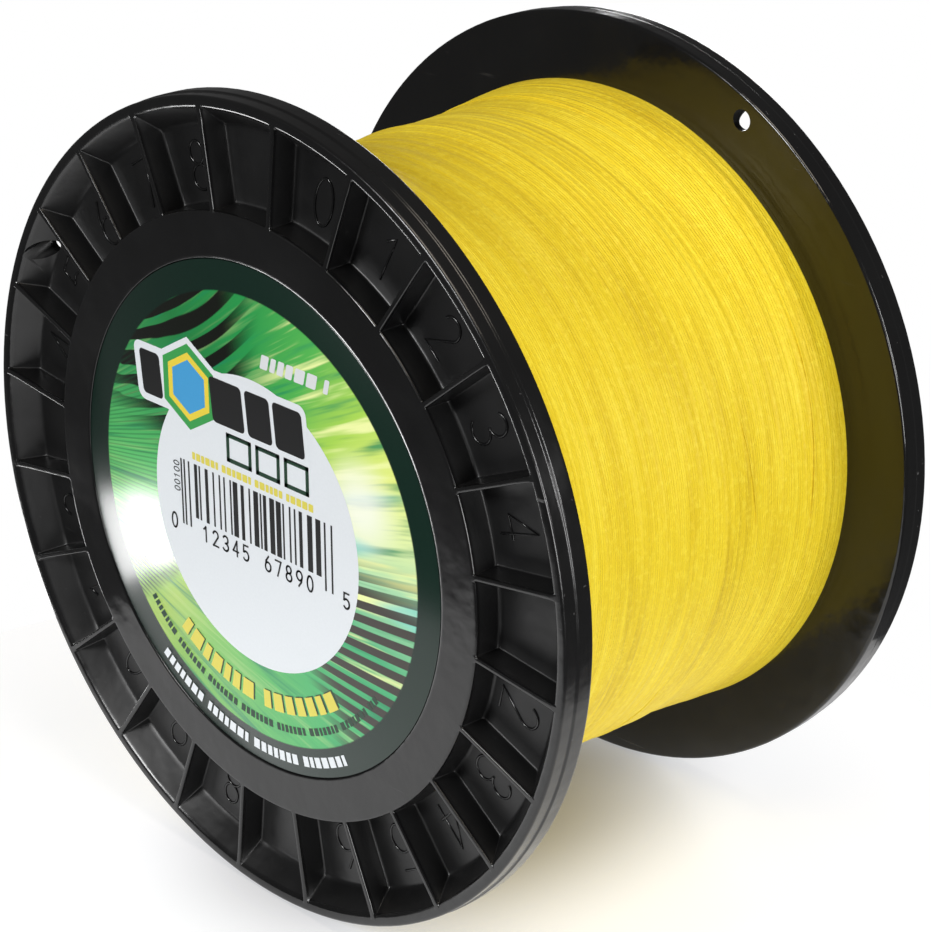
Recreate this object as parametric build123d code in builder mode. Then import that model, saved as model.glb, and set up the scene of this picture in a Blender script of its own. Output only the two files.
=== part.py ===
from build123d import *
from math import radians, tan
import os

os.makedirs("parts", exist_ok=True)

# A bulk fishing line spool, in millimetres.  The spool axis is +Y, the label
# side faces -Y and +Z is up.  The origin is on the axis, halfway across.
# Angles run from +X towards +Z, as seen from the label side.

# Driving dimensions
overall_width = 71.2
flange_radius = 58.0
rim_thickness = 4.8
pocket_depth = 3.8
rib_count = 24
rib_start_deg = 8.6
barrel_radius = 34.0
arbor_bore_radius = 8.1
label_radius = 36.25

# Flange moulding
rim_step = 0.2
rim_step_width = 2.1
rim_land = 1.4
rim_edge = 0.4
pocket_wall_run = 2.9
hub_radius = 42.7
hub_draft_run = 0.3
hub_plate = 2.0
rib_thickness = 0.7
rib_draft_deg = 3.0
rib_bite = 0.6
line_hole_radius = 1.5
line_hole_circle = 54.8
front_hole_deg = 151.1
rear_hole_deg = 61.1

# Core
barrel_wall = 2.0
arbor_wall = 2.2
spigot_wall = 2.2
spigot_length = 5.0
collar_length = 6.0

# Labels and tapes
label_recess = 0.25
label_thickness = 0.2
label_gap = 0.25
tape_thickness = 0.1
anchor_tape_width = 15.0
anchor_tape_deg = 40.0
anchor_tape_middle_deg = 90.0
end_tape_width = 14.0
end_tape_deg = 26.0
end_tape_middle_deg = 200.0

# Wound line: how far out the pack reaches, as a share of the flange radius, at
# places from the label side (-1) to the rear (+1).  It flares at both flanges.
pack_outline = [
    (-1.0, 0.845),
    (-0.78, 0.822),
    (-0.50, 0.792),
    (-0.15, 0.788),
    (0.20, 0.798),
    (0.55, 0.802),
    (0.80, 0.820),
    (1.0, 0.832),
]

# Worked-out places, measured from mid-width
outer_face = overall_width / 2
inner_face = outer_face - rim_thickness
seat_face = outer_face - label_recess
pocket_floor = outer_face - pocket_depth
step_face = outer_face - rim_step_width
hub_back = outer_face - hub_plate

# Worked-out radii
rim_radius = flange_radius - rim_step
pocket_mouth_radius = rim_radius - rim_land
pocket_floor_radius = pocket_mouth_radius - pocket_wall_run
label_seat_radius = label_radius + label_gap
arbor_radius = arbor_bore_radius + arbor_wall
collar_radius = arbor_radius + spigot_wall
spigot_radius = barrel_radius - barrel_wall
spigot_bore_radius = spigot_radius - spigot_wall
rib_foot = rib_thickness + 2 * pocket_depth * tan(radians(rib_draft_deg))


def flange_section():
    """Half section of a flange, as (radius, distance from mid-width)."""
    outside = [
        (arbor_radius, seat_face),
        (label_seat_radius, seat_face),
        (label_seat_radius, outer_face),
        (hub_radius, outer_face),
        (hub_radius + hub_draft_run, pocket_floor),
        (pocket_floor_radius, pocket_floor),
        (pocket_mouth_radius, outer_face),
    ]
    rim = [
        (rim_radius - rim_edge, outer_face),
        (rim_radius, outer_face - rim_edge),
        (rim_radius, step_face),
        (flange_radius, step_face - rim_step),
        (flange_radius, inner_face + rim_edge),
        (flange_radius - rim_edge, inner_face),
    ]
    inside = [
        (spigot_radius, inner_face),
        (spigot_radius, inner_face - spigot_length),
        (spigot_bore_radius, inner_face - spigot_length),
        (spigot_bore_radius, hub_back),
        (collar_radius, hub_back),
        (collar_radius, inner_face - collar_length),
        (arbor_radius, inner_face - collar_length),
    ]
    return outside + rim + inside


def facing(side, place):
    """Plane square to the axis, facing out, with x kept on +X."""
    return Plane(origin=(0, side * place, 0), x_dir=(1, 0, 0), z_dir=(0, side, 0))


def turned(side, angle):
    """The same angle on a plane from facing(): the rear one runs the other way."""
    return -side * angle


def make_flange(side, hole_deg):
    """One flange moulding: side is -1 for the label side, +1 for the rear."""
    with BuildPart() as flange:
        with BuildSketch(Plane.XY):
            with BuildLine():
                Polyline([(r, side * place) for r, place in flange_section()], close=True)
            make_face()
        revolve(axis=Axis.Y)

        rib_inner = hub_radius - rib_bite
        rib_outer = pocket_mouth_radius + rib_bite
        with BuildSketch(facing(side, pocket_floor)):
            with PolarLocations(
                (rib_inner + rib_outer) / 2, rib_count, turned(side, rib_start_deg)
            ):
                Rectangle(rib_outer - rib_inner, rib_foot)
        extrude(amount=pocket_depth, taper=rib_draft_deg)

        with BuildSketch(facing(side, inner_face - 1)):
            with PolarLocations(line_hole_circle, 1, turned(side, hole_deg)):
                Circle(line_hole_radius)
        extrude(amount=rim_thickness + 2, mode=Mode.SUBTRACT)
    return flange


def make_tube(outer, inner, place):
    """A plain tube on the axis that reaches `place` either side of mid-width."""
    with BuildPart() as tube:
        with BuildSketch(facing(1, -place)):
            Circle(outer)
            Circle(inner, mode=Mode.SUBTRACT)
        extrude(amount=2 * place)
    return tube


def pack_points(lift):
    """Outline of the wound line, raised by `lift`."""
    return [(flange_radius * share + lift, inner_face * place) for place, share in pack_outline]


def band_plane(middle_deg, span_deg):
    """Half plane through the axis at the start of a band."""
    return Plane.XY.rotated((0, -(middle_deg - span_deg / 2), 0))


# Front flange, label side
front_flange = make_flange(-1, front_hole_deg)
front_flange.part.label = "front_flange"
export_step(front_flange.part, "parts/front_flange.step")

# Rear flange, its twin turned round
rear_flange = make_flange(1, rear_hole_deg)
rear_flange.part.label = "rear_flange"
export_step(rear_flange.part, "parts/rear_flange.step")

# Core barrel that the line is wound on; the flanges' spigots plug into it
core_barrel = make_tube(barrel_radius, spigot_radius, inner_face)
core_barrel.part.label = "core_barrel"
export_step(core_barrel.part, "parts/core_barrel.step")

# Arbor tube for a winder's spindle, from label seat to label seat
arbor_tube = make_tube(arbor_radius, arbor_bore_radius, seat_face)
arbor_tube.part.label = "arbor_tube"
export_step(arbor_tube.part, "parts/arbor_tube.step")

# Anchor tape that holds the inner end of the line on the barrel
with BuildPart() as anchor_tape:
    with BuildSketch(band_plane(anchor_tape_middle_deg, anchor_tape_deg)):
        with Locations((barrel_radius + tape_thickness / 2, 0)):
            Rectangle(tape_thickness, anchor_tape_width)
    revolve(axis=Axis.Y, revolution_arc=-anchor_tape_deg)
anchor_tape.part.label = "anchor_tape"
export_step(anchor_tape.part, "parts/anchor_tape.step")

# Wound line: one closed pack of turns that fills the space between the flanges
with BuildPart() as line_winding:
    with BuildSketch(Plane.XY):
        with BuildLine():
            outline = Spline(pack_points(0))
            Line(outline @ 1, (barrel_radius, inner_face))
            Line((barrel_radius, inner_face), (barrel_radius, -inner_face))
            Line((barrel_radius, -inner_face), outline @ 0)
        make_face()
    revolve(axis=Axis.Y)
    add(anchor_tape.part, mode=Mode.SUBTRACT)
line_winding.part.label = "line_winding"
export_step(line_winding.part, "parts/line_winding.step")

# End tape that holds the loose outer end of the line down on the pack
with BuildPart() as end_tape:
    with BuildSketch(band_plane(end_tape_middle_deg, end_tape_deg)):
        with BuildLine():
            over = Spline(pack_points(tape_thickness))
            Line(over @ 1, (barrel_radius, inner_face))
            Line((barrel_radius, inner_face), (barrel_radius, -inner_face))
            Line((barrel_radius, -inner_face), over @ 0)
        make_face()
        Rectangle(2 * flange_radius, end_tape_width, mode=Mode.INTERSECT)
    revolve(axis=Axis.Y, revolution_arc=-end_tape_deg)
    add(line_winding.part, mode=Mode.SUBTRACT)
end_tape.part.label = "end_tape"
export_step(end_tape.part, "parts/end_tape.step")

# Front label: a full disc that closes the arbor's mouth on this side
with BuildPart() as front_label:
    with BuildSketch(facing(-1, seat_face)):
        Circle(label_radius)
    extrude(amount=label_thickness)
front_label.part.label = "front_label"
export_step(front_label.part, "parts/front_label.step")

# Rear label: the same disc, punched out over the arbor
with BuildPart() as rear_label:
    with BuildSketch(facing(1, seat_face)):
        Circle(label_radius)
        Circle(arbor_radius, mode=Mode.SUBTRACT)
    extrude(amount=label_thickness)
rear_label.part.label = "rear_label"
export_step(rear_label.part, "parts/rear_label.step")
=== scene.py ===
import math
import random

import bpy
from mathutils import Matrix, Vector, noise


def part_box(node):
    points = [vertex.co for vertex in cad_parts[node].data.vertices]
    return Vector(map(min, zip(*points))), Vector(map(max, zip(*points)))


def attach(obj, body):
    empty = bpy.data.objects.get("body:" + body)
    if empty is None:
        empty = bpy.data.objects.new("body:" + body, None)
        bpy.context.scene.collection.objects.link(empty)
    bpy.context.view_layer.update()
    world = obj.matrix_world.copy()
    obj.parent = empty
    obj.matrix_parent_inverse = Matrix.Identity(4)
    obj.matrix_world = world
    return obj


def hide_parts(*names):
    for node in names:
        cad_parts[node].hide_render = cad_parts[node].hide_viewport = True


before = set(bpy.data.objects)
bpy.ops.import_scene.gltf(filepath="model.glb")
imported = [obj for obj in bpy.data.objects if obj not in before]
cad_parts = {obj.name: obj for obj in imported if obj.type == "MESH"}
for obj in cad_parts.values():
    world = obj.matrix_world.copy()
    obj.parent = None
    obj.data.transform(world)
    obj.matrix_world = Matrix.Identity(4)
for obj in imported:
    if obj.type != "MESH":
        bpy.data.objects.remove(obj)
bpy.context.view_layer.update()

MM = 0.001

# ---------------------------------------------------------------- places from the frame
FLANGE_LOW, FLANGE_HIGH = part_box("front_flange")
PACK_LOW, PACK_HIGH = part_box("line_winding")
LABEL_LOW, LABEL_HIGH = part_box("front_label")
TUBE_LOW, TUBE_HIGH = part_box("arbor_tube")
BARREL_LOW, BARREL_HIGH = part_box("core_barrel")

FLANGE_R = FLANGE_HIGH.x                # outer radius of both flanges
OUTER_FACE = -FLANGE_LOW.y              # half the spool's width
INNER_FACE = PACK_HIGH.y                # where the line meets a flange
LABEL_R = LABEL_HIGH.x
LABEL_FACE = -LABEL_LOW.y
SEAT_FACE = -LABEL_HIGH.y
TUBE_R = TUBE_HIGH.x
BARREL_R = BARREL_HIGH.x

# ---------------------------------------------------------------- flange moulding
POCKET_DEPTH = 3.8 * MM
RIM_STEP = 0.2 * MM
RIM_STEP_PLACE = 2.1 * MM
RIM_LAND = 1.4 * MM
WALL_RUN = 2.9 * MM
HUB_R = 42.7 * MM
HUB_DRAFT = 0.3 * MM
HUB_PLATE = 2.0 * MM
SPIGOT_LENGTH = 5.0 * MM
SPIGOT_WALL = 2.2 * MM
COLLAR_LENGTH = 6.0 * MM
BARREL_WALL = 2.0 * MM
LABEL_GAP = 0.14 * MM
RIB_COUNT = 24
RIB_START = math.radians(8.6)
LINE_HOLE_R = 1.5 * MM
LINE_HOLE_CIRCLE = 54.8 * MM
FRONT_HOLE = math.radians(151.1)
REAR_HOLE = math.radians(61.1)
FRONT_HOLE_LEAN = math.radians(-34)

# Across one rib, from its middle: distance in mm, and how deep the surface lies, as a share of the pocket
RIB_PROFILE = [
    (0.00, 0.000), (0.20, 0.000), (0.29, 0.010), (0.345, 0.035), (0.37, 0.075),
    (0.375, 0.100), (0.525, 0.875), (0.53, 0.900), (0.56, 0.950), (0.63, 0.985), (0.78, 1.000),
]
POCKET_COLUMNS = 5

# ---------------------------------------------------------------- wound line
LINE_DIAMETER = 0.41 * MM
TURNS = 143
ROWS_PER_TURN = 4
PACK_COLUMNS = 336
# Place from the label side (-1) to the rear (+1), and the pack's radius as a share of the flange's
PACK_OUTLINE = [
    (-1.0, 0.845), (-0.78, 0.822), (-0.50, 0.792), (-0.15, 0.788),
    (0.20, 0.798), (0.55, 0.802), (0.80, 0.820), (1.0, 0.832),
]


# ================================================================ mesh helpers
def mesh_object(name, vertices, faces, smooth=True, sharp_deg=None):
    """A new mesh object in the scene."""
    mesh = bpy.data.meshes.new(name)
    mesh.from_pydata([tuple(v) for v in vertices], [], faces)
    mesh.validate()
    mesh.update()
    if smooth:
        mesh.shade_smooth()
        if sharp_deg is not None:
            mesh.set_sharp_from_angle(angle=math.radians(sharp_deg))
    piece = bpy.data.objects.new(name, mesh)
    bpy.context.scene.collection.objects.link(piece)
    return piece


def polar(radius, angle, y):
    """A point at that radius and angle round the spool's axis."""
    return Vector((radius * math.cos(angle), y, radius * math.sin(angle)))


def apply_modifiers(piece):
    """Bakes the piece's modifiers into its mesh."""
    graph = bpy.context.evaluated_depsgraph_get()
    mesh = bpy.data.meshes.new_from_object(piece.evaluated_get(graph))
    piece.modifiers.clear()
    piece.data = mesh


def add_material(piece, material):
    piece.data.materials.clear()
    piece.data.materials.append(material)


def join_meshes(name, parts):
    """One object out of (vertices, faces) lists."""
    vertices, faces = [], []
    for part_vertices, part_faces in parts:
        base = len(vertices)
        vertices += part_vertices
        faces += [tuple(base + i for i in face) for face in part_faces]
    return mesh_object(name, vertices, faces)


# ================================================================ shader helper
class Shader:
    """A node material built step by step round one Principled BSDF."""

    def __init__(self, name, **inputs):
        self.material = bpy.data.materials.new(name)
        self.material.use_nodes = True
        self.tree = self.material.node_tree
        self.bsdf = self.tree.nodes["Principled BSDF"]
        self.set(**inputs)
        self._coords = None

    def set(self, **inputs):
        for key, value in inputs.items():
            socket = self.bsdf.inputs[key.replace("_", " ")]
            if isinstance(value, bpy.types.NodeSocket):
                self.tree.links.new(value, socket)
            else:
                socket.default_value = value

    def node(self, kind, **settings):
        made = self.tree.nodes.new(kind)
        for key, value in settings.items():
            setattr(made, key, value)
        return made

    def feed(self, node, *values):
        """Links or sets the node's inputs in order; None leaves one alone."""
        for socket, value in zip(node.inputs, values):
            if value is None:
                continue
            if isinstance(value, bpy.types.NodeSocket):
                self.tree.links.new(value, socket)
            else:
                socket.default_value = value
        return node

    def coords(self):
        if self._coords is None:
            self._coords = self.node("ShaderNodeTexCoord").outputs["Object"]
        return self._coords

    def split(self, vector=None):
        made = self.feed(self.node("ShaderNodeSeparateXYZ"), vector or self.coords())
        return made.outputs[0], made.outputs[1], made.outputs[2]

    def join(self, x, y, z):
        return self.feed(self.node("ShaderNodeCombineXYZ"), x, y, z).outputs[0]

    def math(self, operation, a, b=None, c=None, clamp=False):
        made = self.node("ShaderNodeMath", operation=operation, use_clamp=clamp)
        return self.feed(made, a, b, c).outputs[0]

    def noise(self, vector, scale, detail=2.0, roughness=0.5):
        made = self.node("ShaderNodeTexNoise")
        self.tree.links.new(vector, made.inputs["Vector"])
        made.inputs["Scale"].default_value = scale
        made.inputs["Detail"].default_value = detail
        made.inputs["Roughness"].default_value = roughness
        return made.outputs["Fac"]

    def remap(self, value, from_low, from_high, to_low=0.0, to_high=1.0, smooth=False):
        made = self.node("ShaderNodeMapRange", clamp=True)
        if smooth:
            made.interpolation_type = "SMOOTHSTEP"
        return self.feed(made, value, from_low, from_high, to_low, to_high).outputs[0]

    def ramp(self, value, stops, kind="LINEAR"):
        made = self.node("ShaderNodeValToRGB")
        made.color_ramp.interpolation = kind
        elements = made.color_ramp.elements
        while len(elements) < len(stops):
            elements.new(1.0)
        for element, (place, colour) in zip(elements, stops):
            element.position = place
            element.color = (*colour, 1.0)
        self.tree.links.new(value, made.inputs[0])
        return made.outputs[0]

    def mix(self, factor, a, b, kind="MIX"):
        made = self.node("ShaderNodeMix", data_type="RGBA", blend_type=kind)
        for socket, value in zip((made.inputs[0], made.inputs[6], made.inputs[7]), (factor, a, b)):
            if isinstance(value, bpy.types.NodeSocket):
                self.tree.links.new(value, socket)
            elif isinstance(value, tuple):
                socket.default_value = (*value, 1.0)
            else:
                socket.default_value = value
        return made.outputs[2]

    def bump(self, height, distance, strength=1.0):
        made = self.node("ShaderNodeBump")
        made.inputs["Strength"].default_value = strength
        made.inputs["Distance"].default_value = distance
        self.tree.links.new(height, made.inputs["Height"])
        self.tree.links.new(made.outputs[0], self.bsdf.inputs["Normal"])


def srgb(red, green, blue):
    """Linear colour from the usual 0-255 values."""
    return tuple(
        c / 12.92 if c <= 0.04045 else ((c + 0.055) / 1.055) ** 2.4
        for c in (red / 255, green / 255, blue / 255)
    )


# ================================================================ materials
def black_plastic(name, pocket_satin):
    """Glossy moulded polystyrene with faint flow ripples and hairline scuffs, duller in the pockets."""
    s = Shader(name, Roughness=0.25, IOR=1.55)
    place = s.coords()
    flow = s.noise(place, 70.0, 3.0)
    ripple = s.noise(place, 260.0, 2.0)
    grain = s.noise(place, 1500.0, 2.0)
    x, y, z = s.split()
    stretched = s.join(
        s.math("MULTIPLY", x, 60.0),
        s.math("MULTIPLY", y, 900.0),
        s.math("MULTIPLY", z, 900.0),
    )
    scuff = s.remap(s.noise(stretched, 1.0, 3.0, 0.6), 0.70, 0.78)
    base = s.mix(flow, (0.0028, 0.0028, 0.0030), (0.0060, 0.0060, 0.0062))
    radius = s.math("SQRT", s.math("ADD", s.math("MULTIPLY", x, x), s.math("MULTIPLY", z, z)))
    rim = s.remap(radius, 0.965 * FLANGE_R, 0.985 * FLANGE_R, 0.08, 0.55)
    depth = s.math("SUBTRACT", OUTER_FACE, s.math("ABSOLUTE", y))
    below_ribs = s.remap(depth, 0.25 * MM, 0.7 * MM)
    above_web = s.remap(depth, 3.95 * MM, 4.2 * MM, 1.0, 0.0)
    pocket = s.math("MULTIPLY", below_ribs, above_web)
    pocket = s.math("MULTIPLY", pocket, s.math("LESS_THAN", radius, 0.97 * FLANGE_R))
    gloss = s.remap(s.noise(place, 45.0, 4.0, 0.6), 0.35, 0.65, 0.12, 0.27)
    s.set(
        Base_Color=s.mix(s.math("MULTIPLY", scuff, rim), base, (0.25, 0.25, 0.25)),
        Roughness=s.math("ADD", gloss, s.math("MULTIPLY", pocket, pocket_satin)),
    )
    height = s.math("ADD", s.math("MULTIPLY", grain, 0.012), s.math("MULTIPLY", ripple, 0.22))
    height = s.math("ADD", height, flow)
    s.bump(height, 0.00055, 0.6)
    return s.material


def core_plastic():
    s = Shader("core_plastic", Roughness=0.5)
    grain = s.noise(s.coords(), 1800.0, 3.0)
    s.set(Base_Color=s.mix(grain, (0.012, 0.012, 0.013), (0.022, 0.022, 0.023)))
    s.bump(grain, 0.00003, 0.5)
    return s.material


def yellow_line():
    """Coated braid: warm yellow, satin, with streaks of tone along the turns and a fine plait."""
    s = Shader("yellow_line", Roughness=0.5, Sheen_Weight=0.04, Sheen_Roughness=0.5, Specular_IOR_Level=0.3)
    x, y, z = s.split()
    radius = s.math("SQRT", s.math("ADD", s.math("MULTIPLY", x, x), s.math("MULTIPLY", z, z)))
    around = s.math("ARCTAN2", z, x)

    def streaks(per_metre_across, per_metre_along, detail):
        vector = s.join(
            s.math("MULTIPLY", x, per_metre_along),
            s.math("MULTIPLY", y, per_metre_across),
            s.math("MULTIPLY", z, per_metre_along),
        )
        return s.noise(vector, 1.0, detail, 0.6)

    grain = s.noise(s.coords(), 1150.0, 2.0)
    broad = streaks(150.0, 22.0, 2.0)
    middle = streaks(620.0, 40.0, 3.0)
    narrow = streaks(2100.0, 60.0, 2.0)
    tone = s.math("ADD", s.math("MULTIPLY", broad, 0.35), s.math("MULTIPLY", middle, 0.35))
    tone = s.math("ADD", tone, s.math("MULTIPLY", narrow, 0.30))
    along = s.math("MULTIPLY", s.math("MULTIPLY", around, radius), 1500.0)
    plait = s.noise(s.join(along, s.math("MULTIPLY", y, 2600.0), 0.0), 1.0, 3.0, 0.6)
    colour = s.ramp(tone, [
        (0.34, (0.62, 0.43, 0.009)),
        (0.44, (0.76, 0.56, 0.014)),
        (0.53, (0.84, 0.64, 0.020)),
        (0.66, (0.93, 0.75, 0.046)),
    ])
    colour = s.mix(s.remap(plait, 0.35, 0.75, 0.0, 0.30), colour, (0.66, 0.47, 0.012))
    colour = s.mix(s.remap(grain, 0.50, 0.72, 0.0, 0.35), colour, (0.97, 0.82, 0.07))
    s.set(Base_Color=colour, Roughness=s.remap(plait, 0.2, 0.8, 0.38, 0.60))
    s.bump(s.math("ADD", plait, s.math("MULTIPLY", grain, 0.6)), 0.00020, 0.6)
    return s.material


def clear_tape():
    s = Shader("clear_tape", Roughness=0.22, Alpha=0.34)
    wrinkle = s.noise(s.coords(), 260.0, 3.0)
    s.set(
        Base_Color=s.mix(wrinkle, (0.84, 0.76, 0.44), (0.93, 0.88, 0.62)),
        Roughness=s.remap(wrinkle, 0.3, 0.7, 0.14, 0.30),
    )
    s.bump(wrinkle, 0.00006, 0.4)
    return s.material


def ink(name, colour, roughness=0.3):
    """Printed ink on coated paper."""
    s = Shader(name, Roughness=roughness)
    mottle = s.noise(s.coords(), 2500.0, 2.0)
    darker = tuple(0.94 * c for c in colour)
    s.set(Base_Color=s.mix(mottle, darker, colour))
    s.bump(mottle, 0.00001, 0.2)
    return s.material


def label_base(name, art):
    """Coated paper disc: dark green border, and a green speed-streak print inside it if art is set."""
    s = Shader(name, Roughness=0.22, IOR=1.52)
    x, y, z = s.split()
    across = s.math("DIVIDE", x, FLANGE_R)
    up = s.math("DIVIDE", z, FLANGE_R)
    rho = s.math("SQRT", s.math("ADD", s.math("MULTIPLY", across, across), s.math("MULTIPLY", up, up)))
    angle = s.math("ARCTAN2", up, across)
    fibre = s.noise(s.coords(), 3000.0, 2.0)
    border = s.mix(fibre, (0.0030, 0.0160, 0.0100), (0.0045, 0.0210, 0.0140))
    colour = border
    if art:
        colour = streak_art(s, across, up, angle)
        inside = s.remap(rho, 0.5505, 0.5545, 0.0, 1.0)
        colour = s.mix(inside, colour, border)
    else:
        line_print = s.math("COMPARE", rho, 0.556, 0.0045)
        field = s.math("LESS_THAN", rho, 0.535)
        shade = s.mix(s.noise(s.coords(), 60.0, 3.0), srgb(34, 120, 66), srgb(44, 140, 78))
        colour = s.mix(field, border, shade)
        colour = s.mix(line_print, colour, srgb(168, 212, 90))
    s.set(Base_Color=colour)
    s.bump(fibre, 0.000012, 0.25)
    return s.material


def near(s, value, middle, full, gone):
    """1 within an angle of the middle, falling to 0, all in degrees."""
    away = s.math("COSINE", s.math("SUBTRACT", value, math.radians(middle)))
    return s.remap(away, math.cos(math.radians(gone)), math.cos(math.radians(full)), 0.0, 1.0, True)


def streak_art(s, across, up, angle):
    """Abstract print: streaks that fan out from a point on the left and bend upwards."""
    turn = s.math("FRACT", s.math("ADD", s.math("DIVIDE", angle, 2 * math.pi), 1.0))
    base = s.ramp(turn, [
        (0.00, srgb(170, 218, 172)), (0.035, srgb(222, 238, 170)), (0.08, srgb(224, 236, 128)),
        (0.125, srgb(168, 212, 86)), (0.18, srgb(84, 178, 82)), (0.25, srgb(40, 150, 76)),
        (0.34, srgb(36, 128, 66)), (0.42, srgb(62, 166, 92)), (0.49, srgb(92, 206, 112)),
        (0.56, srgb(128, 212, 100)), (0.62, srgb(176, 214, 88)), (0.68, srgb(128, 200, 88)),
        (0.76, srgb(86, 186, 96)), (0.84, srgb(70, 178, 108)), (0.93, srgb(64, 172, 116)),
        (1.00, srgb(170, 218, 172)),
    ])
    dx = s.math("ADD", across, 1.00)
    dz = s.math("ADD", up, 0.03)
    reach = s.math("SQRT", s.math("ADD", s.math("MULTIPLY", dx, dx), s.math("MULTIPLY", dz, dz)))
    ray = s.math("SUBTRACT", s.math("ARCTAN2", dz, dx), s.math("MULTIPLY", reach, 0.10))
    wide = s.noise(s.join(s.math("MULTIPLY", ray, 9.0), s.math("MULTIPLY", reach, 1.1), 2.0), 1.0, 2.0, 0.5)
    fine_place = s.join(s.math("MULTIPLY", ray, 34.0), s.math("MULTIPLY", reach, 1.6), 5.0)
    fine = s.noise(fine_place, 1.0, 3.0, 0.6)
    light_zone = s.math("ADD", near(s, angle, 18, 45, 75), 0.22)
    light = s.math("MULTIPLY", s.remap(fine, 0.50, 0.66, 0.0, 0.8, True), light_zone, clamp=True)
    colour = s.mix(light, base, srgb(236, 244, 168))
    deep = s.remap(fine, 0.48, 0.30, 0.0, 0.85, True)
    colour = s.mix(deep, colour, srgb(26, 138, 92))
    aqua = s.math("MULTIPLY", near(s, angle, 6, 12, 30), s.remap(wide, 0.48, 0.60, 0.0, 0.8, True))
    colour = s.mix(aqua, colour, srgb(120, 208, 196))
    # bold dark strokes at the upper left, thinning out towards the top
    bx = s.math("ADD", across, 0.65)
    bz = s.math("SUBTRACT", up, 1.15)
    arc = s.math("SQRT", s.math("ADD", s.math("MULTIPLY", bx, bx), s.math("MULTIPLY", bz, bz)))
    strokes = s.math("SINE", s.math("ADD", s.math("MULTIPLY", arc, 118.0), s.math("MULTIPLY", wide, 7.0)))
    upper = s.math("MULTIPLY", near(s, angle, 126, 24, 42), s.remap(strokes, -0.35, 0.05, 0.0, 1.0, True))
    colour = s.mix(upper, colour, srgb(16, 20, 14))
    # comb of dark bars at the lower right
    comb = s.remap(s.math("SINE", s.math("MULTIPLY", ray, 245.0)), -0.45, -0.1, 0.0, 1.0, True)
    lower = s.math("MULTIPLY", near(s, angle, -28, 18, 36), comb)
    colour = s.mix(lower, colour, srgb(54, 50, 44))
    # fine hatching down the left, with one darker smudge
    hatch = s.remap(s.math("SINE", s.math("MULTIPLY", ray, 330.0)), 0.0, 0.6, 0.0, 1.0, True)
    left = s.math("MULTIPLY", near(s, angle, 172, 14, 34), s.math("MULTIPLY", hatch, 0.38))
    colour = s.mix(left, colour, srgb(18, 84, 52))
    smudge_tone = s.math("ADD", s.math("MULTIPLY", hatch, 0.5), 0.35)
    smudge = s.math("MULTIPLY", near(s, angle, 212, 2.5, 8), smudge_tone)
    colour = s.mix(smudge, colour, srgb(34, 62, 36))
    # soft white flare beside the panel
    fx = s.math("SUBTRACT", across, 0.37)
    fz = s.math("SUBTRACT", up, 0.16)
    flare = s.math("SQRT", s.math("ADD", s.math("MULTIPLY", fx, fx), s.math("MULTIPLY", fz, fz)))
    return s.mix(s.remap(flare, 0.02, 0.15, 0.75, 0.0, True), colour, (0.93, 0.95, 0.90))


def floor_painted_shadow_material():
    """Pale table that glows softly and evenly, with a painted shadow where the glow is dimmed right under
    the spool.
    """
    s = Shader("studio_floor_painted_shadow", Roughness=0.6)
    cloud = s.noise(s.coords(), 3.0, 2.0)
    x, y, _ = s.split()
    x = s.math("DIVIDE", x, 0.62 * FLANGE_R)
    y = s.math("DIVIDE", y, 0.80 * FLANGE_R)
    away = s.math("SQRT", s.math("ADD", s.math("MULTIPLY", x, x), s.math("MULTIPLY", y, y)))
    s.set(
        Base_Color=s.mix(cloud, (0.46, 0.46, 0.47), (0.50, 0.50, 0.51)),
        Emission_Color=(0.97, 0.98, 1.0, 1.0),
        # painted shadow: the glow drops from 0.68 to 0.08 near the spool's foot, in place of its contact
        # shadow
        Emission_Strength=s.remap(away, 0.35, 1.15, 0.08, 0.68, True),
    )
    return s.material


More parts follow.
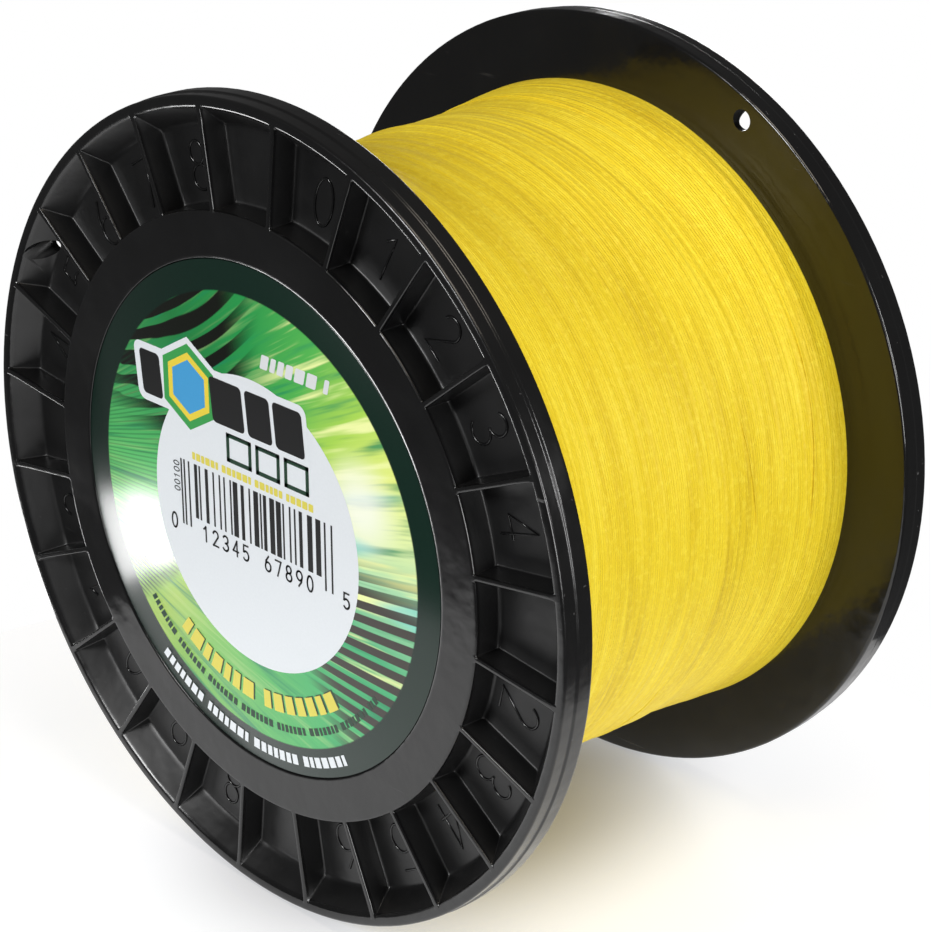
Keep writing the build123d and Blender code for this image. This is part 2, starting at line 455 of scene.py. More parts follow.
# ================================================================ flanges
def flange_rows():
    """Round a flange's half section: (radius, distance from mid-width, share of a pocket's depth)."""
    land = FLANGE_R - RIM_STEP
    mouth = land - RIM_LAND
    floor_edge = mouth - WALL_RUN
    seat = LABEL_R + LABEL_GAP
    collar = TUBE_R + SPIGOT_WALL
    spigot = BARREL_R - BARREL_WALL
    top = OUTER_FACE
    rows = [
        (TUBE_R, SEAT_FACE, 0), (seat - 0.05 * MM, SEAT_FACE, 0), (seat, SEAT_FACE + 0.05 * MM, 0),
        (seat, top - 0.08 * MM, 0), (seat + 0.08 * MM, top, 0), (seat + 0.5 * MM, top, 0),
        (HUB_R - 0.55 * MM, top, 0), (HUB_R - 0.28 * MM, top, 0), (HUB_R - 0.12 * MM, top, 0.010),
        (HUB_R - 0.03 * MM, top, 0.035), (HUB_R, top, 0.075), (HUB_R + 0.010 * MM, top, 0.105),
        (HUB_R + HUB_DRAFT * 0.87, top, 0.89), (HUB_R + HUB_DRAFT * 0.9, top, 0.92),
        (HUB_R + HUB_DRAFT + 0.06 * MM, top, 0.965), (HUB_R + HUB_DRAFT + 0.2 * MM, top, 0.99),
        (HUB_R + HUB_DRAFT + 0.45 * MM, top, 1),
    ]
    first, last = HUB_R + HUB_DRAFT + 0.45 * MM, floor_edge - 0.4 * MM
    rows += [(first + (last - first) * k / 6, top, 1) for k in range(1, 6)]
    rows += [
        (last, top, 1), (floor_edge - 0.12 * MM, top, 0.99), (floor_edge + 0.08 * MM, top, 0.955),
        (floor_edge + 0.3 * MM, top, 0.897), (floor_edge + 0.5 * MM, top, 0.828),
        (mouth - 0.45 * MM, top, 0.155), (mouth - 0.30 * MM, top, 0.105), (mouth - 0.15 * MM, top, 0.062),
        (mouth + 0.02 * MM, top, 0.028), (mouth + 0.20 * MM, top, 0.0095),
        (mouth + 0.38 * MM, top, 0.002), (mouth + 0.52 * MM, top, 0),
        (land - 0.45 * MM, top, 0), (land - 0.28 * MM, top - 0.025 * MM, 0),
        (land - 0.13 * MM, top - 0.10 * MM, 0),
        (land - 0.035 * MM, top - 0.22 * MM, 0), (land, top - 0.40 * MM, 0),
        (land, top - 0.55 * MM, 0), (land, top - RIM_STEP_PLACE + 0.20 * MM, 0),
        (land, top - RIM_STEP_PLACE + 0.06 * MM, 0),
        (land + 0.05 * MM, top - RIM_STEP_PLACE - 0.06 * MM, 0),
        (FLANGE_R - 0.05 * MM, top - RIM_STEP_PLACE - 0.14 * MM, 0),
        (FLANGE_R, top - RIM_STEP_PLACE - 0.26 * MM, 0),
        (FLANGE_R, top - RIM_STEP_PLACE - 0.42 * MM, 0), (FLANGE_R, INNER_FACE + 0.56 * MM, 0),
        (FLANGE_R, INNER_FACE + 0.40 * MM, 0), (FLANGE_R - 0.04 * MM, INNER_FACE + 0.22 * MM, 0),
        (FLANGE_R - 0.13 * MM, INNER_FACE + 0.09 * MM, 0),
        (FLANGE_R - 0.28 * MM, INNER_FACE + 0.015 * MM, 0),
        (FLANGE_R - 0.45 * MM, INNER_FACE, 0), (FLANGE_R - 2 * MM, INNER_FACE, 0), (50 * MM, INNER_FACE, 0),
        (BARREL_R, INNER_FACE, 0), (spigot, INNER_FACE, 0), (spigot, INNER_FACE - SPIGOT_LENGTH, 0),
        (spigot - SPIGOT_WALL, INNER_FACE - SPIGOT_LENGTH, 0), (spigot - SPIGOT_WALL, top - HUB_PLATE, 0),
        (collar, top - HUB_PLATE, 0), (collar, INNER_FACE - COLLAR_LENGTH, 0),
        (TUBE_R, INNER_FACE - COLLAR_LENGTH, 0),
    ]
    return rows


def rib_columns():
    """Round the flange, one per column: (rib's angle, offset along the face, share of the gap, depth)."""
    columns = []
    pitch = 2 * math.pi / RIB_COUNT
    reach = RIB_PROFILE[-1][0] * MM
    for rib in range(RIB_COUNT):
        middle = RIB_START + rib * pitch
        for offset, depth in RIB_PROFILE[:0:-1]:
            columns.append((middle, -offset * MM, 0.0, depth))
        for offset, depth in RIB_PROFILE:
            columns.append((middle, offset * MM, 0.0, depth))
        for k in range(1, POCKET_COLUMNS + 1):
            columns.append((middle, reach, k / (POCKET_COLUMNS + 1), 1.0))
    return columns


def column_angle(column, radius):
    middle, offset, share, _ = column
    angle = math.asin(max(-1.0, min(1.0, offset / radius)))
    gap = 2 * math.pi / RIB_COUNT - 2 * angle
    return middle + angle + share * gap


def build_flange(name, side, hole_angle, hole_lean):
    """Moulded flange with ribbed pockets, rounded edges and a line hole."""
    rows, columns = flange_rows(), rib_columns()
    vertices, faces = [], []
    for radius, place, floor in rows:
        for column in columns:
            depth = POCKET_DEPTH * floor * column[3]
            angle = column_angle(column, radius)
            vertices.append(polar(radius, angle, side * (place - depth)))
    wide = len(columns)
    for i in range(len(rows)):
        for j in range(wide):
            a, b = i * wide + j, i * wide + (j + 1) % wide
            c, d = ((i + 1) % len(rows)) * wide + (j + 1) % wide, ((i + 1) % len(rows)) * wide + j
            faces.append((a, b, c, d) if side < 0 else (a, d, c, b))
    flange = mesh_object(name, vertices, faces, sharp_deg=50)
    bpy.ops.mesh.primitive_cylinder_add(vertices=48, radius=LINE_HOLE_R, depth=20 * MM)
    drill = bpy.context.object
    outward = polar(1, hole_angle, 0)
    lean = Matrix.Rotation(hole_lean, 4, outward)
    hole_middle = Matrix.Translation(polar(LINE_HOLE_CIRCLE, hole_angle, side * (OUTER_FACE - 2 * MM)))
    drill.matrix_world = hole_middle @ lean @ Matrix.Rotation(math.pi / 2, 4, "X")
    bpy.context.view_layer.update()
    cut = flange.modifiers.new("line_hole", "BOOLEAN")
    cut.operation = "DIFFERENCE"
    cut.solver = "EXACT"
    cut.object = drill
    apply_modifiers(flange)
    bpy.data.objects.remove(drill)
    flange.data.set_sharp_from_angle(angle=math.radians(50))
    return flange


# ================================================================ raised figures on the pocket floors
def arc_points(cx, cy, rx, ry, start_deg, end_deg, steps=14):
    return [
        (cx + rx * math.cos(math.radians(start_deg + (end_deg - start_deg) * k / steps)),
         cy + ry * math.sin(math.radians(start_deg + (end_deg - start_deg) * k / steps)))
        for k in range(steps + 1)
    ]


def figure_strokes(digit):
    """Single-line strokes of a figure in a box 1 wide and 2 high."""
    shapes = {
        0: [arc_points(0.5, 1.0, 0.5, 1.0, 0, 360, 28)],
        1: [[(0.15, 1.6), (0.55, 2.0), (0.55, 0.0)]],
        2: [arc_points(0.5, 1.5, 0.48, 0.5, 165, -35) + [(0.0, 0.0), (1.0, 0.0)]],
        3: [arc_points(0.48, 1.5, 0.45, 0.5, 150, -90), arc_points(0.46, 0.5, 0.52, 0.5, 90, -150)],
        4: [[(0.75, 0.0), (0.75, 2.0), (0.0, 0.6), (1.0, 0.6)]],
        5: [[(0.92, 2.0), (0.12, 2.0), (0.06, 1.1)] + arc_points(0.48, 0.62, 0.52, 0.62, 130, -140)],
        6: [arc_points(0.5, 0.6, 0.5, 0.6, 0, 360, 24), [(0.03, 0.75), (0.15, 1.35), (0.62, 2.0)]],
        7: [[(0.0, 2.0), (1.0, 2.0), (0.35, 0.0)]],
        8: [arc_points(0.5, 1.52, 0.42, 0.48, 0, 360, 24), arc_points(0.5, 0.52, 0.5, 0.52, 0, 360, 24)],
        9: [arc_points(0.5, 1.4, 0.5, 0.6, 0, 360, 24), [(0.97, 1.25), (0.85, 0.65), (0.38, 0.0)]],
    }
    return shapes[digit]


FIGURE_HEIGHT = 6.6 * MM
FIGURE_STROKE = 0.20 * MM
FIGURE_CIRCLE = 48.0 * MM
BLANK_POCKETS = (5, 11, 17, 23)


def build_figures(name, side):
    """Raised figures, counted round the pockets, with their tops to the rim."""
    curve = bpy.data.curves.new(name, "CURVE")
    curve.dimensions = "3D"
    curve.bevel_depth = FIGURE_STROKE
    curve.bevel_resolution = 2
    unit = FIGURE_HEIGHT / 2
    y = side * (OUTER_FACE - POCKET_DEPTH)
    for pocket in range(RIB_COUNT):
        if pocket in BLANK_POCKETS:
            continue
        angle = RIB_START + (pocket + 0.5) * 2 * math.pi / RIB_COUNT
        out = Vector((math.cos(angle), 0, math.sin(angle)))
        along = Vector((math.sin(angle), 0, -math.cos(angle))) * (-side)
        for stroke in figure_strokes((RIB_COUNT - pocket) % 10):
            spline = curve.splines.new("POLY")
            spline.points.add(len(stroke) - 1)
            for point, (u, v) in zip(spline.points, stroke):
                place = out * (FIGURE_CIRCLE + (v - 1) * unit) + along * ((u - 0.5) * unit)
                point.co = (place.x, y, place.z, 1.0)
    piece = bpy.data.objects.new(name, curve)
    bpy.context.scene.collection.objects.link(piece)
    bpy.context.view_layer.update()
    graph = bpy.context.evaluated_depsgraph_get()
    mesh = bpy.data.meshes.new_from_object(piece.evaluated_get(graph))
    bpy.data.objects.remove(piece)
    mesh.shade_smooth()
    figures = bpy.data.objects.new(name, mesh)
    bpy.context.scene.collection.objects.link(figures)
    return figures


# ================================================================ wound line
def pack_radius(place):
    """Radius of the pack's surface at a place from -1 (label side) to +1."""
    points = PACK_OUTLINE
    k = 0
    while k < len(points) - 2 and place > points[k + 1][0]:
        k += 1
    before = points[max(k - 1, 0)]
    start, end = points[k], points[k + 1]
    after = points[min(k + 2, len(points) - 1)]
    span = end[0] - start[0]
    slope_in = (end[1] - before[1]) / (end[0] - before[0])
    slope_out = (after[1] - start[1]) / (after[0] - start[0])
    t = (place - start[0]) / span
    share = (
        (2 * t**3 - 3 * t**2 + 1) * start[1] + (t**3 - 2 * t**2 + t) * span * slope_in
        + (-2 * t**3 + 3 * t**2) * end[1] + (t**3 - t**2) * span * slope_out
    )
    return share * FLANGE_R


def pack_swell(y, angle):
    """How far bundles of turns stand above or below the even surface."""
    ring = Vector((math.cos(angle), math.sin(angle), 0))
    broad = noise.noise(Vector((ring.x * 0.9, ring.y * 0.9, y / (7.0 * MM))))
    bundle = noise.noise(Vector((ring.x * 1.3 + 7, ring.y * 1.3, y / (2.2 * MM))))
    fine = noise.noise(Vector((ring.x * 2.4, ring.y * 2.4 + 3, y / (0.8 * MM))))
    return (0.26 * broad + 0.15 * bundle + 0.10 * fine) * MM


def pack_wander(y, angle):
    """Sideways drift of the turns."""
    place = Vector((math.cos(angle) * 1.1, math.sin(angle) * 1.1, y / (9.0 * MM)))
    return 0.55 * MM * noise.noise(place)


def strength(y, angle):
    """How clearly single turns show: they lie looser in some places than in others."""
    place = Vector((math.cos(angle) * 1.4, math.sin(angle) * 1.4 + 9, y / (6.0 * MM)))
    middle = min(1.0, 0.45 + 0.55 * (INNER_FACE - abs(y)) / (10 * MM))
    return middle * (0.13 + 0.14 * noise.noise(place))


def pack_surface(y, angle):
    """Radius of the wound surface, before single turns are drawn on it."""
    edge = min(1.0, (INNER_FACE - abs(y)) / (2 * MM))
    return pack_radius(y / INNER_FACE) + edge * pack_swell(y, angle)


def build_pack():
    """The visible skin of the winding: every turn is a ridge that winds round."""
    random.seed(11)
    pitch = 2 * INNER_FACE / TURNS
    rise = [random.uniform(-0.045, 0.045) * MM for _ in range(TURNS + 2)]
    rows = TURNS * ROWS_PER_TURN
    shape = [math.sin(math.pi * k / ROWS_PER_TURN) ** 0.7 for k in range(ROWS_PER_TURN)]
    vertices, faces = [], []
    for i in range(rows + 1):
        turn, phase = divmod(i, ROWS_PER_TURN)
        for j in range(PACK_COLUMNS):
            angle = 2 * math.pi * j / PACK_COLUMNS
            y0 = -INNER_FACE + i * pitch / ROWS_PER_TURN
            edge = min(1.0, (INNER_FACE - abs(y0)) / (2 * MM))
            y = y0 + edge * pack_wander(y0, angle)
            ridge = shape[phase] * LINE_DIAMETER * strength(y0, angle)
            radius = pack_surface(y0, angle) + rise[turn] + ridge - 0.2 * MM
            vertices.append(polar(radius, angle, y))
    for i in range(rows):
        for j in range(PACK_COLUMNS):
            a, b = i * PACK_COLUMNS + j, i * PACK_COLUMNS + (j + 1) % PACK_COLUMNS
            faces.append((a, a + PACK_COLUMNS, b + PACK_COLUMNS, b))
    # close the ends against the flanges and the inside against the barrel
    last = rows * PACK_COLUMNS
    bore = BARREL_R + 0.15 * MM
    for y, ring in ((-INNER_FACE, 0), (INNER_FACE, last)):
        base = len(vertices)
        vertices += [polar(bore, 2 * math.pi * j / PACK_COLUMNS, y) for j in range(PACK_COLUMNS)]
        for j in range(PACK_COLUMNS):
            n = (j + 1) % PACK_COLUMNS
            loop = (ring + j, ring + n, base + n, base + j)
            faces.append(loop if y < 0 else loop[::-1])
    low, high = last + PACK_COLUMNS, last + 2 * PACK_COLUMNS
    for j in range(PACK_COLUMNS):
        n = (j + 1) % PACK_COLUMNS
        faces.append((low + j, low + n, high + n, high + j))
    return mesh_object("wound_line", vertices, faces)


def build_crossing_turns():
    """Single turns of line that lie across the others on top of the pack."""
    random.seed(5)
    sides, steps = 8, 110
    parts = []
    for _ in range(9):
        start = random.uniform(0, 2 * math.pi)
        sweep = random.uniform(0.18, 0.60) * math.pi
        y0 = random.uniform(-0.9, 0.85) * INNER_FACE
        drift = random.choice((-1, 1)) * random.uniform(0.8, 2.2) * MM
        vertices, faces = [], []
        for k in range(steps + 1):
            t = k / steps
            angle = start + sweep * t
            y = max(-0.985 * INNER_FACE, min(0.985 * INNER_FACE, y0 + drift * (3 * t**2 - 2 * t**3)))
            ends = min(1.0, t / 0.25, (1 - t) / 0.25)
            base = pack_radius(y / INNER_FACE) + pack_swell(y, angle) + (0.13 * ends - 0.28) * MM
            for m in range(sides):
                turn = 2 * math.pi * m / sides
                radius = base + 0.5 * LINE_DIAMETER * math.cos(turn) * 0.8
                vertices.append(polar(radius, angle, y + 0.5 * LINE_DIAMETER * math.sin(turn)))
        for k in range(steps):
            for m in range(sides):
                a, b = k * sides + m, k * sides + (m + 1) % sides
                faces.append((a, b, b + sides, a + sides))
        faces.append(tuple(range(sides - 1, -1, -1)))
        faces.append(tuple(steps * sides + m for m in range(sides)))
        parts.append((vertices, faces))
    return join_meshes("crossing_turns", parts)


TAPE_MIDDLE = math.radians(200)
TAPE_SPAN = math.radians(26)
TAPE_THICKNESS = 0.06 * MM
TAPE_LIFT = 0.14 * MM


def build_end_tape():
    """Strip of tape pressed over the last turns, with slightly wavy short edges."""
    low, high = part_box("end_tape")
    around, across = 72, 24
    layers = []
    for lift in (TAPE_LIFT + TAPE_THICKNESS, TAPE_LIFT):
        for i in range(around + 1):
            angle = TAPE_MIDDLE + TAPE_SPAN * (i / around - 0.5)
            for j in range(across + 1):
                y = low.y + (high.y - low.y) * j / across
                wave = 0.004 * noise.noise(Vector((y / (1.5 * MM), i / around * 2, 4)))
                bridge = 0.05 * MM * noise.noise(Vector((angle * 9, y / (3 * MM), 1)))
                layers.append(polar(pack_surface(y, angle) + lift + bridge, angle + wave, y))
    wide = across + 1
    under = (around + 1) * wide
    faces = []
    for i in range(around):
        for j in range(across):
            a = i * wide + j
            faces.append((a, a + 1, a + wide + 1, a + wide))
            faces.append((under + a, under + a + wide, under + a + wide + 1, under + a + 1))
    rim = list(range(wide))
    rim += [i * wide + across for i in range(1, around + 1)]
    rim += [around * wide + j for j in range(across - 1, -1, -1)]
    rim += [i * wide for i in range(around - 1, 0, -1)]
    for a, b in zip(rim, rim[1:] + rim[:1]):
        faces.append((b, a, under + a, under + b))
    return mesh_object("end_tape_strip", layers, faces, sharp_deg=60)


# ================================================================ labels
PRINT_LIFT = 0.02 * MM


def label_disc(name, side, inner, outer):
    """Paper disc or ring with a softly rounded edge."""
    segments = 192
    face, back = side * LABEL_FACE, side * SEAT_FACE
    ring = [(outer - 0.06 * MM, face), (outer, face - side * 0.05 * MM), (outer, back)]
    rings = ring + ([(inner, back), (inner, face)] if inner else [])
    vertices = [
        polar(radius, 2 * math.pi * j / segments, y) for radius, y in rings for j in range(segments)
    ]
    faces = []
    loops = len(rings)
    for i in range(loops if inner else loops - 1):
        for j in range(segments):
            n = (j + 1) % segments
            k = (i + 1) % loops
            quad = (i * segments + j, i * segments + n, k * segments + n, k * segments + j)
            faces.append(quad if side < 0 else quad[::-1])
    if not inner:
        front = tuple(range(segments))
        rear = tuple(range((loops - 1) * segments, loops * segments))
        faces += [front[::-1], rear] if side < 0 else [front, rear[::-1]]
    return mesh_object(name, vertices, faces, sharp_deg=40)


def print_patch(outline, side=-1, lift=1):
    """A thin printed shape on a label, from its outline in the label's own x and z."""
    y = side * (LABEL_FACE + lift * PRINT_LIFT)
    return [Vector((x, y, z)) for x, z in outline]


def print_piece(name, outlines, side=-1, lift=1):
    """One printed colour: a set of flat patches that face outwards."""
    vertices, faces = [], []
    for outline in outlines:
        base = len(vertices)
        vertices += print_patch(outline, side, lift)
        area = sum(a[0] * b[1] - b[0] * a[1] for a, b in zip(outline, outline[1:] + outline[:1]))
        loop = list(range(base, base + len(outline)))
        if (area > 0) != (side < 0):
            loop.reverse()
        faces.append(tuple(loop))
    return mesh_object(name, vertices, faces, smooth=False)


def box_outline(x0, x1, z0, z1, corner=0.0, slant=0.0):
    """Rectangle in label units (share of the flange radius), with rounded corners and a slant."""
    if corner == 0:
        points = [(x0, z0), (x1, z0), (x1, z1), (x0, z1)]
    else:
        points = []
        for cx, cz, start in ((x1 - corner, z0 + corner, -90), (x1 - corner, z1 - corner, 0),
                              (x0 + corner, z1 - corner, 90), (x0 + corner, z0 + corner, 180)):
            points += arc_points(cx, cz, corner, corner, start, start + 90, 5)
    return [((x + slant * (z - z0)) * FLANGE_R, z * FLANGE_R) for x, z in points]


def hexagon(x, z, size):
    corners = arc_points(x, z, size, size, 30, 390, 6)[:-1]
    return [(px * FLANGE_R, pz * FLANGE_R) for px, pz in corners]


def arc_outline(r0, r1, a0_deg, a1_deg):
    """A piece of a ring, in label units and degrees."""
    steps = max(2, int(abs(a1_deg - a0_deg) / 2))
    outer = arc_points(0, 0, r1, r1, a0_deg, a1_deg, steps)
    inner = arc_points(0, 0, r0, r0, a1_deg, a0_deg, steps)
    return [(x * FLANGE_R, z * FLANGE_R) for x, z in outer + inner]


def text_bars(x0, x1, z0, z1, seed, slant=0.0, gap=0.2, wide=(0.5, 0.95), space_every=6):
    """A row of small blocks that stands in for a line of print."""
    rng = random.Random(seed)
    height = z1 - z0
    bars, x, count = [], x0, 0
    while x < x1 - 0.3 * height:
        width = rng.uniform(*wide) * height
        rng.random()  # a spare draw, so that the later widths stay as they are
        bars.append(box_outline(x, min(x + width, x1), z0, z1, 0.12 * height, slant))
        x += width + gap * height
        count += 1
        if count % space_every == 0:
            x += 0.5 * height
    return bars


def curved_text(radius, height, a0_deg, a1_deg, seed, gap=0.25, space_every=7):
    """The same along an arc."""
    rng = random.Random(seed)
    unit = math.degrees(height / radius)
    bars, angle, count = [], a0_deg, 0
    while angle < a1_deg - 0.4 * unit:
        width = rng.uniform(0.45, 0.85) * unit
        bars.append(arc_outline(radius - height / 2, radius + height / 2, angle, angle + width))
        angle += width + gap * unit
        count += 1
        if count % space_every == 0:
            angle += 0.6 * unit
    return bars


def barcode(x0, x1, z0, z1, guard):
    """Bars of a made-up code: 95 modules, with longer guard bars."""
    rng = random.Random(3)
    module = (x1 - x0) / 95
    bars, place = [], 0
    guards = {0, 2, 46, 48, 92, 94}
    while place < 95:
        if place in guards:
            bars.append((place, 1, True))
            place += 2 if place not in (2, 48) else 3
            continue
        width = rng.choice((1, 1, 1, 2, 2, 3))
        stop = 45 if place < 46 else 91
        width = min(width, stop - place)
        if width < 1:
            place = 46 if place < 46 else 92
            continue
        bars.append((place, width, place < 9 or place > 85))
        place += width + rng.choice((1, 1, 2, 2, 3))
        if 45 <= place < 46:
            place = 46
        if 91 <= place < 92:
            place = 92
    return [
        box_outline(x0 + start * module, x0 + (start + width) * module, guard if long else z0, z1)
        for start, width, long in bars
    ]


def figure_outlines(text, x, z, height, pitch, turned=False):
    """Printed figures drawn as thin strokes."""
    outlines = []
    unit = height / 2
    half = 0.062 * height
    for index, character in enumerate(text):
        if character == " ":
            continue
        for stroke in figure_strokes(int(character)):
            for (u0, v0), (u1, v1) in zip(stroke, stroke[1:]):
                a = Vector((u0, v0)) * unit
                b = Vector((u1, v1)) * unit
                step = (b - a).normalized() * half
                across = Vector((-step.y, step.x))
                quad = [a - step - across, b + step - across, b + step + across, a - step + across]
                placed = []
                for corner in quad:
                    px, pz = corner.x + index * pitch, corner.y
                    if turned:
                        px, pz = -pz, px
                    placed.append(((x + px) * FLANGE_R, (z + pz) * FLANGE_R))
                outlines.append(placed)
    return outlines


def build_front_print():
    """Everything printed on the front label, as (piece, material)."""
    white = ink("print_white", srgb(230, 235, 239), 0.28)
    black = ink("print_black", srgb(26, 26, 27), 0.3)
    yellow = ink("print_yellow", srgb(226, 214, 88), 0.3)
    dark = ink("print_dark_green", srgb(28, 62, 44), 0.3)
    grey = ink("print_grey", srgb(225, 228, 230), 0.3)
    green = ink("print_green", srgb(60, 160, 80), 0.3)
    gold = ink("print_gold", srgb(238, 214, 70), 0.3)
    blue = ink("print_blue", srgb(70, 160, 215), 0.3)
    heading = [(-0.395, -0.32), (-0.135, -0.02), (-0.008, 0.078), (0.09, 0.19)]
    halo = 0.018
    lean = -0.10
    panel = arc_points(0, -0.005, 0.362, 0.362, 0, 360, 120)[:-1]
    white_panel = [[(px * FLANGE_R, pz * FLANGE_R) for px, pz in panel]]
    halos = [box_outline(-0.395 - halo, 0.19 + halo, 0.215 - halo, 0.326 + halo, 0.024, lean)]
    black_shapes = [box_outline(a, b, 0.215, 0.326, 0.012, lean) for a, b in heading]
    badge = [hexagon(-0.222, 0.275, 0.125)]
    badge_ring = [hexagon(-0.222, 0.275, 0.108)]
    badge_gold = [hexagon(-0.222, 0.275, 0.086)]
    badge_middle = [hexagon(-0.222, 0.275, 0.068)]
    thin = [(-0.09, 0.0), (0.015, 0.10), (0.115, 0.20)]
    frame_width = 0.011
    black_thin = []
    for a, b in thin:
        black_thin += [
            box_outline(a, b, 0.19, 0.19 + frame_width), box_outline(a, b, 0.128, 0.128 + frame_width),
            box_outline(a, a + frame_width, 0.128, 0.20), box_outline(b - frame_width, b, 0.128, 0.20),
        ]
    bars = barcode(-0.267, 0.276, -0.057, 0.083, -0.087)
    code = (
        figure_outlines("0", -0.308, -0.107, 0.038, 0.03)
        + figure_outlines("12345", -0.19, -0.107, 0.038, 0.037)
        + figure_outlines("67890", 0.038, -0.107, 0.038, 0.037)
        + figure_outlines("5", 0.31, -0.107, 0.038, 0.03)
        + figure_outlines("00100", -0.272, -0.005, 0.02, 0.0165, True)
    )
    return [
        (print_piece("label_white_panel", white_panel, lift=1), white),
        (print_piece("label_heading_halo", halos, lift=2), white),
        (print_piece("label_badge_edge", badge, lift=2.2), white),
        (print_piece("label_badge_green", badge_ring, lift=2.4), green),
        (print_piece("label_badge_gold", badge_gold, lift=2.6), gold),
        (print_piece("label_badge_blue", badge_middle, lift=2.8), blue),
        (print_piece("label_heading", black_shapes, lift=3), black),
        (print_piece("label_second_line", black_thin, lift=2), dark),
        (print_piece("label_yellow_row", text_bars(-0.22, 0.22, 0.094, 0.113, 21), lift=2), yellow),
        (print_piece("label_barcode", bars, lift=2), black),
        (print_piece("label_code_figures", code, lift=3), black),
        (print_piece("label_arc_shadow", curved_text(0.4475, 0.046, -127.6, -46.4, 8), lift=1), dark),
        (print_piece("label_arc_print", curved_text(0.45, 0.046, -128, -46.8, 8), lift=2), yellow),
        (print_piece("label_small_arc", curved_text(0.512, 0.019, -141, -36, 9), lift=1), dark),
        (print_piece("label_border_print", curved_text(0.588, 0.026, -128, -56, 10), lift=1), white),
        (print_piece("label_tag", text_bars(0.04, 0.27, 0.395, 0.43, 30, 0.25), lift=2), grey),
    ]


def build_rear_print():
    """Plain print on the rear label, as (piece, material)."""
    white = ink("rear_print_white", srgb(234, 238, 240), 0.28)
    lime = ink("rear_print_lime", srgb(168, 212, 90), 0.3)
    ring = curved_text(0.590, 0.026, 205, 335, 14)
    inner_row = curved_text(0.47, 0.034, 50, 130, 15)
    hub_ring = [arc_outline(0.225, 0.235, a, a + 29.9) for a in range(0, 360, 30)]
    return [
        (print_piece("rear_border_print", ring, side=1), white),
        (print_piece("rear_row_print", inner_row, side=1), white),
        (print_piece("rear_hub_ring", hub_ring, side=1), lime),
    ]


# ================================================================ stage
CAMERA_AZIMUTH = math.radians(45.83)
CAMERA_ELEVATION = math.radians(23.29)
CAMERA_DISTANCE = 6.346 * FLANGE_R
CAMERA_SIDE = 0.0496 * FLANGE_R
CAMERA_RISE = -0.0371 * FLANGE_R
CAMERA_LENS = 99.46
FLOOR_R = 1.9 * FLANGE_R
FLOOR_MIDDLE = (0.25 * FLANGE_R, -0.55 * FLANGE_R)
FLOOR_SIDES = 96
WHITE = (1, 1, 1)
WARM_WHITE = (1.0, 0.90, 0.76)

# Soft boxes: name, direction, then distance, width and height in flange radii, power and colour
LIGHTS = [
    ("overhead", (0.38, -0.05, 1.0), 8, 4.0, 4.0, 0.85, WARM_WHITE),
    ("right_rear", (0.85, 0.30, 0.30), 10, 1.3, 3.2, 0.75, WHITE),
    ("right_front", (1.0, -0.30, 0.10), 10, 4.0, 4.0, 1.6, WHITE),
    ("front_key", (-0.12, -0.95, 0.52), 11, 3.0, 3.0, 2.55, WHITE),
    ("left_card", (-0.85, -0.24, -0.47), 3.3, 1.1, 0.7, 0.075, WHITE),
    ("rear_fill", (-0.55, 0.95, 0.08), 10, 3.6, 3.6, 1.1, WHITE),
]


def build_camera():
    camera_data = bpy.data.cameras.new("camera")
    camera_data.sensor_width = 36.0
    camera_data.lens = CAMERA_LENS
    camera_data.clip_start = 0.01
    camera = bpy.data.objects.new("camera", camera_data)
    bpy.context.scene.collection.objects.link(camera)
    back = Vector((
        math.sin(CAMERA_AZIMUTH) * math.cos(CAMERA_ELEVATION),
        -math.cos(CAMERA_AZIMUTH) * math.cos(CAMERA_ELEVATION),
        math.sin(CAMERA_ELEVATION),
    ))
    right = Vector((math.cos(CAMERA_AZIMUTH), math.sin(CAMERA_AZIMUTH), 0))
    up = back.cross(right)
    place = right * CAMERA_SIDE + up * CAMERA_RISE + back * CAMERA_DISTANCE
    turn = Matrix((right, up, back)).transposed().to_4x4()
    camera.matrix_world = Matrix.Translation(place) @ turn
    bpy.context.scene.camera = camera


def soft_light(name, direction, distance, wide, tall, power, colour):
    """A soft box that faces the spool."""
    data = bpy.data.lights.new(name, "AREA")
    data.shape = "RECTANGLE"
    data.size = wide * FLANGE_R
    data.size_y = tall * FLANGE_R
    data.energy = power
    data.color = colour
    light = bpy.data.objects.new(name, data)
    light.location = Vector(direction).normalized() * distance * FLANGE_R
    light.rotation_euler = light.location.to_track_quat("Z", "Y").to_euler()
    bpy.context.scene.collection.objects.link(light)


def build_stage():
    """Small pale table under soft boxes."""
    rim = [polar(FLOOR_R, 2 * math.pi * k / FLOOR_SIDES, 0) for k in range(FLOOR_SIDES)]
    middle_x, middle_y = FLOOR_MIDDLE
    corners = [(middle_x + p.x, middle_y + p.z, -FLANGE_R) for p in rim]
    table = mesh_object("studio_floor_painted_shadow", corners, [tuple(range(FLOOR_SIDES))], smooth=False)
    add_material(table, floor_painted_shadow_material())
    for light in LIGHTS:
        soft_light(*light)


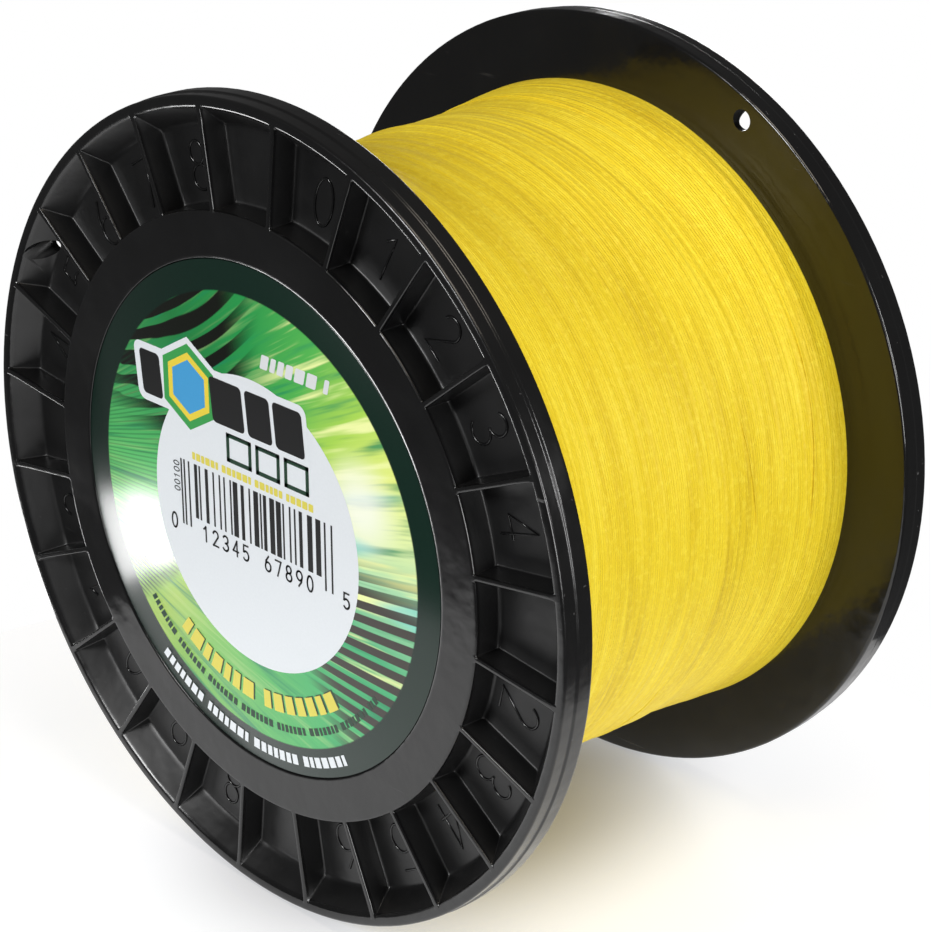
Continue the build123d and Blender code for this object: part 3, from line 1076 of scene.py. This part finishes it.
def build_backdrop():
    """A dark room, with a white backdrop that only direct rays see."""
    world = bpy.data.worlds.new("studio")
    bpy.context.scene.world = world
    world.use_nodes = True
    tree = world.node_tree
    room = tree.nodes["Background"]
    room.inputs["Color"].default_value = (0.10, 0.10, 0.10, 1)
    backdrop = tree.nodes.new("ShaderNodeBackground")
    backdrop.inputs["Color"].default_value = (1, 1, 1, 1)
    choice = tree.nodes.new("ShaderNodeMixShader")
    seen = tree.nodes.new("ShaderNodeLightPath")
    tree.links.new(seen.outputs["Is Camera Ray"], choice.inputs[0])
    tree.links.new(room.outputs[0], choice.inputs[1])
    tree.links.new(backdrop.outputs[0], choice.inputs[2])
    tree.links.new(choice.outputs[0], tree.nodes["World Output"].inputs["Surface"])
    bpy.context.scene.view_settings.view_transform = "Standard"


# ================================================================ assembly
def place_piece(piece, material, node=None):
    add_material(piece, material)
    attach(piece, "root")
    if node:
        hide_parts(node)


def build_spool():
    plastic, core, line = black_plastic("black_plastic", 0.20), core_plastic(), yellow_line()
    figure_plastic = black_plastic("figure_plastic", 0.0)
    tape = clear_tape()
    front_flange = build_flange("front_flange_moulding", -1, FRONT_HOLE, FRONT_HOLE_LEAN)
    place_piece(front_flange, plastic, "front_flange")
    rear_flange = build_flange("rear_flange_moulding", 1, REAR_HOLE, 0.0)
    place_piece(rear_flange, plastic, "rear_flange")
    place_piece(build_figures("front_figures", -1), figure_plastic)
    place_piece(build_figures("rear_figures", 1), figure_plastic)
    place_piece(build_pack(), line, "line_winding")
    place_piece(build_crossing_turns(), line)
    place_piece(build_end_tape(), tape, "end_tape")
    front = label_disc("front_label_paper", -1, 0, LABEL_R)
    place_piece(front, label_base("label_front_print", True), "front_label")
    rear = label_disc("rear_label_paper", 1, TUBE_R, LABEL_R)
    place_piece(rear, label_base("label_rear_print", False), "rear_label")
    for piece, material in build_front_print():
        place_piece(piece, material)
    for piece, material in build_rear_print():
        place_piece(piece, material)
    for node, material in (("core_barrel", core), ("arbor_tube", core), ("anchor_tape", tape)):
        add_material(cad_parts[node], material)


build_camera()
build_stage()
build_backdrop()
build_spool()
